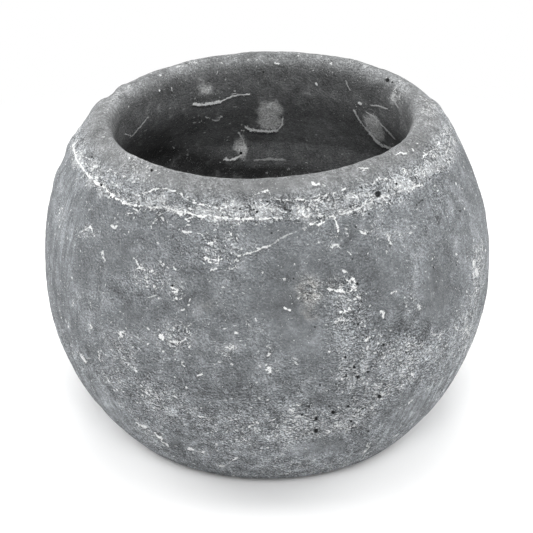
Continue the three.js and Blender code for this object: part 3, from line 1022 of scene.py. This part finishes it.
def placed_strokes(f, p):
    """The strokes that were given one by one, with ragged edges, and the shade under them."""
    shiver = f.scaled(p.about_zero(f, SHIVERS, 3.0, 0.65), (0.9, 0.7, 0.0))
    way = f.moved(f.painted("mark_way", "Vector"), f.stretched(shiver, f.fade(p.inside, 2.5, start=6.0)))
    width = f.times(
        f.painted("mark_width"), f.ramp(p.crumbs, 0.36, 0.6, 0.45, 1.2, smooth=False),
        f.ramp(p.gaps, 0.38, 0.56, f.fade(p.inside, 0.7, start=0.2), 1.15))
    here = f.times(f.ramp(f.painted("mark_near"), 5.5, 4.0), f.painted("mark_power"))
    stroke = f.times(f.ramp(f.over(f.length(way), width), 1.3, 0.8), here)
    stroke_above = f.length(f.moved(way, (0.0, 2.2, 0.0)))
    shade = f.times(f.ramp(f.over(stroke_above, width), 1.4, 0.6), here)
    return stroke, shade


def white_cover(f, p):
    """How far white matter covers the cement, and how far the cement is in its shade."""
    flecks = f.ramp(f.less(p.crumbs, p.threshold), 0.0, 0.07)
    curls, curl_shade = curls_of_slurry(f, p)
    stroke, stroke_shade = placed_strokes(f, p)
    haze = f.times(f.ramp(f.less(p.mottle, p.threshold), -0.16, 0.1), f.fade(p.crust, 0.3, start=0.1))
    smear = f.ramp(f.sum(p.chalk, f.times(f.less(p.mottle, 0.5), 1.4)), 0.25, 0.8)
    smear = f.times(smear, p.inside, f.ramp(f.sum(p.grain, p.crumbs), 0.8, 1.25, 0.3, 0.85))

    white = f.larger(f.larger(flecks, crater_rims(f, p)), f.larger(curls, threads_of_slurry(f, p)))
    white = f.times(white, f.ramp(p.gaps, 0.42, 0.66, 0.22, 0.95))
    white = f.times(f.larger(white, white_specks(f, p)), f.ramp(p.grain, 0.3, 0.55, 0.45, 1.0))
    white = f.larger(f.larger(white, haze), f.larger(stroke, smear))
    return white, f.larger(curl_shade, stroke_shade)


def air_holes_and_shade(f, p):
    """Placed pits, scattered bubbles, and pores between the crumbs: where they sink in, for their relief and
    their painted shade.
    """
    pit_distance = f.times(f.length(f.painted("pit_way", "Vector")), PIXEL)
    pit = f.ramp(f.over(pit_distance, f.painted("pit_radius")), 1.25, 0.85)
    pit = f.times(pit, f.ramp(f.painted("pit_near"), 5.0, 4.0))
    bubbles = f.ramp(f.cells(p.place, BUBBLES)["Distance"], 0.075, 0.045)
    bubbles = f.times(bubbles, f.ramp(f.noise(p.place, BUBBLE_CLOUDS, 1.0), 0.45, 0.6))
    pores = f.ramp(p.crumbs, 0.27, 0.22)
    return f.larger(pit, f.larger(bubbles, f.times(pores, 0.6)))


def brush_streaks(f, p):
    """Streaks that run down the belly, where it was brushed."""
    round_the_bowl = f.vector("NORMALIZE", f.scaled(p.place, (1.0, 1.0, 0.0)))
    downwards = f.moved(f.scaled(round_the_bowl, (150.0, 150.0, 0.0)), f.scaled(p.bent, (0.03, 0.03, 0.12)))
    streaks = f.ramp(f.noise(downwards, STREAKS, 4.0, 0.65), 0.4, 0.62, 0.92, 1.55)
    return f.sum(f.times(p.brush, streaks), f.less(1.0, p.brush))


def cement_tone(f, p, shade, holes_and_shade):
    """Level of the bare cement: clouds times everything that makes it paler or darker, painted light and
    shade among them.
    """
    gritty = f.sum(f.fade(p.amount, 0.7, start=0.0), p.grit)
    worn = f.sum(p.polish, f.times(p.brush, 0.5))
    crumb_light_gain = f.times(f.ramp(gritty, 0.0, 1.5, 2.0, 5.5), f.fade(worn, 0.35))
    grain_gain = f.times(f.ramp(gritty, 0.0, 1.2, 1.5, 3.2), f.fade(p.polish, 0.55), f.fade(p.brush, 0.65))
    pale = f.sum(f.times(p.grit, 0.6), f.less(p.chalk, f.times(p.polish, 0.6)))
    # painted highlight along the lip's rounded edge, from the crest towards the mouth
    crest_highlight = f.times(f.ramp(p.run, 25.0, 32.0, 0.0, 0.22), f.ramp(p.run, 40.0, 34.0))
    return f.times(
        f.ramp(p.cloud, 0.3, 0.7, DARK_CEMENT, PALE_CEMENT, smooth=False),
        f.ramp(pale, -0.6, 1.4, 0.88, 1.42, smooth=False),
        f.ramp(p.mottle, 0.3, 0.7, 0.7, 1.38, smooth=False),
        f.sum(1.0, f.times(f.times(p.grit, 1.4), f.less(p.mottle, 0.5))),
        # painted light: paler from the crease up over the rim band, which faces up towards the light
        f.ramp(p.run, -4.0, 14.0, 1.0, 1.18),
        f.sum(1.0, crest_highlight),
        f.larger(f.sum(1.0, f.times(grain_gain, f.less(p.grain, 0.5))), 0.3),
        # painted light and shade on the crumbs' upper and lower edges
        f.larger(f.sum(1.0, f.times(crumb_light_gain, p.crumb_light_and_shade)), 0.3),
        brush_streaks(f, p),
        f.fade(p.inside, 0.58),
        # painted shade deep inside the bowl, and painted light where that field is below zero
        f.ramp(f.painted("deep"), -0.5, 1.0, 1.4, 0.2, smooth=False),
        f.fade(shade, 0.5),
        # painted shade in pits, bubbles and pores
        f.fade(holes_and_shade, 0.15))


def concrete_finish():
    f = Finish("concrete")
    p = ConcretePatterns(f)
    holes_and_shade = air_holes_and_shade(f, p)
    white, shade = white_cover(f, p)
    tone = cement_tone(f, p, shade, holes_and_shade)
    body = f.blend(f.ramp(p.run, 2.0, 24.0), f.tinted(tone, CEMENT_TINT), f.tinted(tone, RIM_TINT))
    stained = f.times(p.warm, f.ramp(p.mottle, 0.35, 0.6))
    body = f.blend(stained, body, f.tinted(f.times(tone, 1.35), BEIGE_TINT))
    chalk_level = f.ramp(f.sum(p.crumbs, f.times(p.inside, 0.2)), 0.4, 0.65, DULL_CHALK, BRIGHT_CHALK)
    cover = f.times(white, f.fade(holes_and_shade, 0.0))
    f.give("Base Color", f.blend(cover, body, f.tinted(chalk_level, CHALK_TINT)))
    f.give("Roughness", f.fade(p.polish, 0.7, start=0.92))
    f.give("Specular IOR Level", 0.35)
    raised = f.sum(f.times(p.crumbs, f.fade(p.polish, 0.3)), f.times(white, 0.2))
    f.give("Normal", f.bump(f.times(holes_and_shade, -1.0), 1.0, f.bump(raised, 0.9)))
    return f.material


def rubber_finish(name, level, dusty_level, roughness):
    f = Finish(name)
    place = f.place()
    grain = f.noise(place, 0.8, 3.0, 0.6)
    dust = f.ramp(f.noise(place, 6.0, 4.0, 0.65), 0.5, 0.75, 0.0, 0.45)
    f.give("Base Color", f.blend(dust, grey(level, RUBBER_TINT), grey(dusty_level, RUBBER_TINT)))
    f.give("Roughness", f.ramp(dust, 0.0, 0.45, roughness, 0.95))
    f.give("Normal", f.bump(grain, 0.05))
    return f.material


# ======== Floor, light and camera ========

def make_floor():
    """A pale floor that keeps the bowl's shadow, and is plain white further out."""
    bm = bmesh.new()
    bmesh.ops.create_grid(bm, x_segments=1, y_segments=1, size=FLOOR_HALF_SIDE)
    floor = new_piece("floor", bm)
    f = Finish("floor")
    path = f.tree.nodes.new("ShaderNodeLightPath").outputs
    seen = f.larger(path["Is Camera Ray"], f.larger(path["Is Glossy Ray"], path["Is Transmission Ray"]))
    far = f.times(seen, f.ramp(f.length(f.place()), *FLOOR_FADE))
    f.give("Base Color", f.blend(far, f.blend(seen, FLOOR_GREY, WHITE), BLACK))
    f.give("Roughness", 0.9)
    f.give("Specular IOR Level", 0.0)
    f.give("Emission Color", WHITE)
    f.give("Emission Strength", far)
    floor.data.materials.append(f.material)


def point_at(piece, place, aim):
    """Places a lamp or the camera, in metres, and turns it to the aim."""
    piece.location = place
    piece.rotation_euler = (Vector(aim) - Vector(place)).to_track_quat("-Z", "Y").to_euler()
    bpy.context.scene.collection.objects.link(piece)


def light_scene():
    world = bpy.data.worlds.new("studio")
    bpy.context.scene.world = world
    world.use_nodes = True
    tree = world.node_tree
    background = tree.nodes["Background"]
    background.inputs["Color"].default_value = WHITE
    path = tree.nodes.new("ShaderNodeLightPath").outputs
    seen = path["Is Camera Ray"]
    for ray in ("Is Glossy Ray", "Is Transmission Ray"):
        either = tree.nodes.new("ShaderNodeMath")
        either.operation = "MAXIMUM"
        tree.links.new(seen, either.inputs[0])
        tree.links.new(path[ray], either.inputs[1])
        seen = either.outputs[0]
    strength = tree.nodes.new("ShaderNodeMapRange")
    strength.inputs["To Min"].default_value = WORLD_LIGHT
    tree.links.new(seen, strength.inputs["Value"])
    tree.links.new(strength.outputs["Result"], background.inputs["Strength"])
    for name, (place, aim, side, watts) in LAMPS.items():
        light = bpy.data.lights.new(name, "AREA")
        light.size = side
        light.energy = watts
        point_at(bpy.data.objects.new(name, light), place, aim)


def make_camera():
    data = bpy.data.cameras.new("camera")
    data.lens = CAMERA_LENS
    data.sensor_width = SENSOR
    camera = bpy.data.objects.new("camera", data)
    point_at(camera, camera_eye() * MM, Vector(CAMERA_AIM) * MM)
    bpy.context.scene.camera = camera


# ======== Put together ========

bpy.context.scene.view_settings.view_transform = "Standard"

make_camera()
light_scene()
make_floor()

bowl = make_bowl()
bowl.data.materials.append(concrete_finish())
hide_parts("bowl")
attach(bowl, "pot")

plug = make_plug()
plug.data.materials.append(rubber_finish("plug_rubber", level=0.024, dusty_level=0.12, roughness=0.6))
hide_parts("drain_plug")
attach(plug, "plug")

pad_rubber = rubber_finish("pad_rubber", level=0.042, dusty_level=0.2, roughness=0.75)
for number in range(1, PAD_COUNT + 1):
    pad = make_pad(number)
    pad.data.materials.append(pad_rubber)
    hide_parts(f"floor_pad_{number}")
    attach(pad, "pot")
